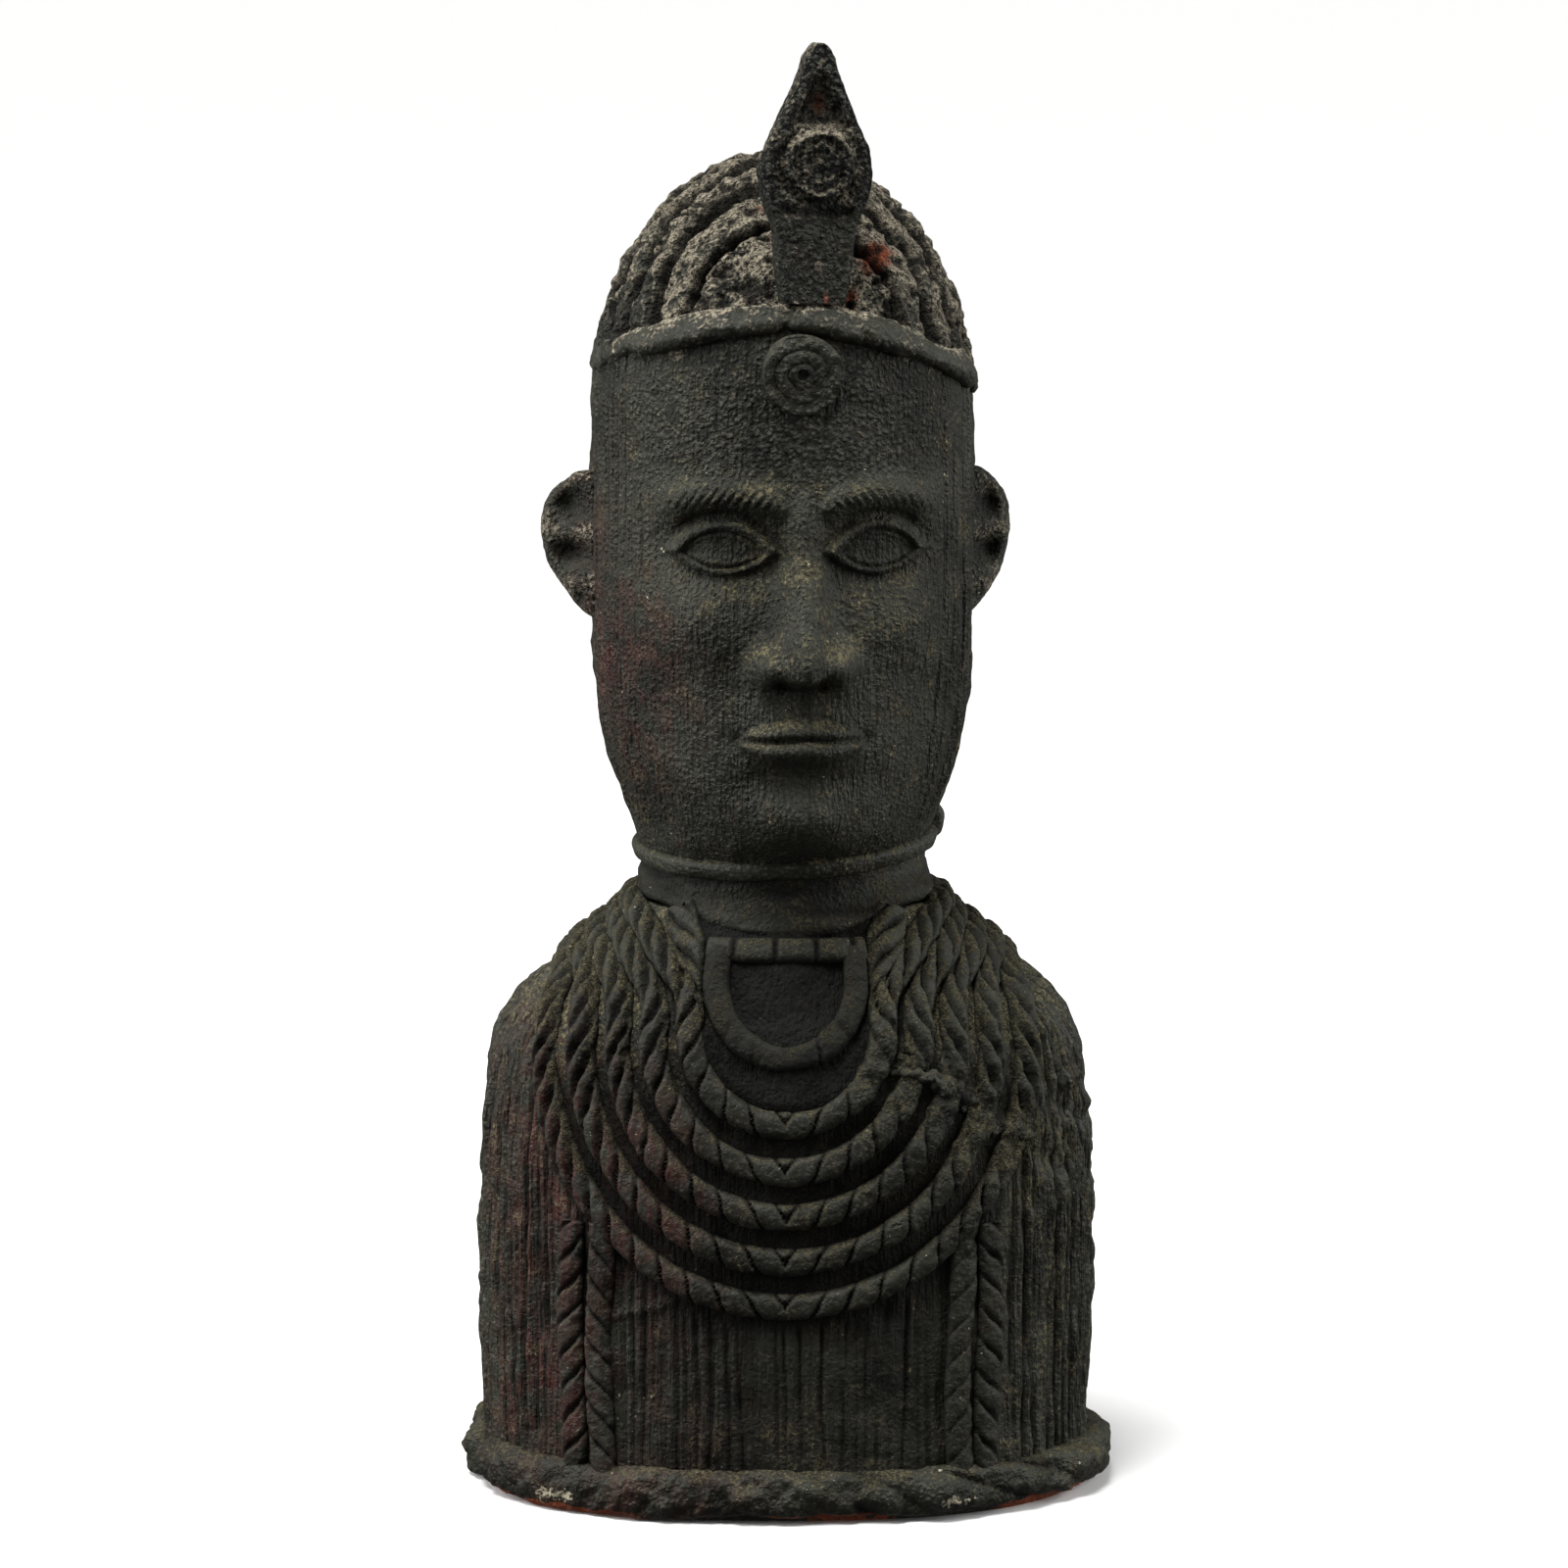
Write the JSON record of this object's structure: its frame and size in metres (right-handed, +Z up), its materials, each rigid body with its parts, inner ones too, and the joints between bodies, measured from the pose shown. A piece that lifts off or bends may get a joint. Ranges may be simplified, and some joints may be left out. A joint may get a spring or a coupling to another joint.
{
  "type": "cast bronze head",
  "caption": "Hollow cast bronze bust of a dignitary: capped head with an upright crest plate, rope necklaces on the chest and a rolled rim to stand on.",
  "frame": {"origin": "middle of the underside, on the plane that the rim stands on", "axes": "+Z up through the head, -Y out through the face, +X toward the viewer's right"},
  "size_m": [0.1628, 0.122, 0.3598],
  "materials": {
    "bronze": "dark matt patina"
  },
  "bodies": {
    "root": {"cast_bust": "bronze"}
  },
  "joints": []
}
